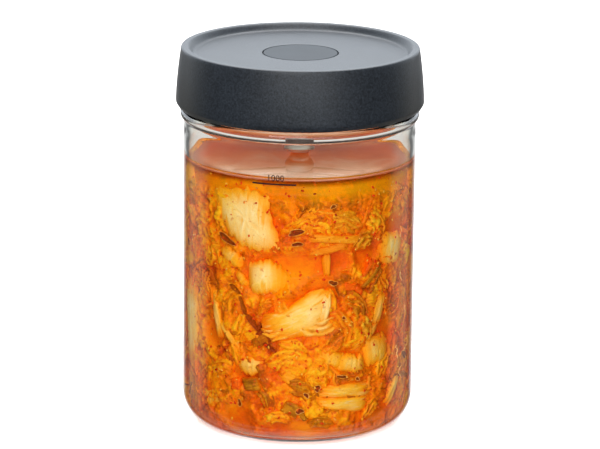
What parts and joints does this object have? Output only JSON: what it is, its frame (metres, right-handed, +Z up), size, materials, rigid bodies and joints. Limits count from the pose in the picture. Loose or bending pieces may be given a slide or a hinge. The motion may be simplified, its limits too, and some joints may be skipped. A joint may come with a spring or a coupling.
{
  "type": "fermentation jar",
  "caption": "Clear glass jar packed with kimchi in brine, shut by a dished matte cap with a flush disc and a valve hanging inside.",
  "frame": {"origin": "centre of the foot, on the surface that the jar stands on", "axes": "+Z up along the jar's axis; the side with the printed fill line faces -Y; +X to the right of that side"},
  "size_m": [0.115, 0.115, 0.1777],
  "materials": {
    "jar_glass": "clear, fire-polished",
    "cap_plastic": "fine spark-eroded texture, soft to the touch",
    "disc_plastic": "satin",
    "post_plastic": "satin",
    "valve_steel": "turned and polished",
    "kimchi": "wet"
  },
  "bodies": {
    "root": {"jar_glass": "jar_glass", "cap": "cap_plastic", "cap_disc": "disc_plastic", "valve_post": "post_plastic", "valve_head": "valve_steel", "kimchi": "kimchi"}
  },
  "joints": []
}
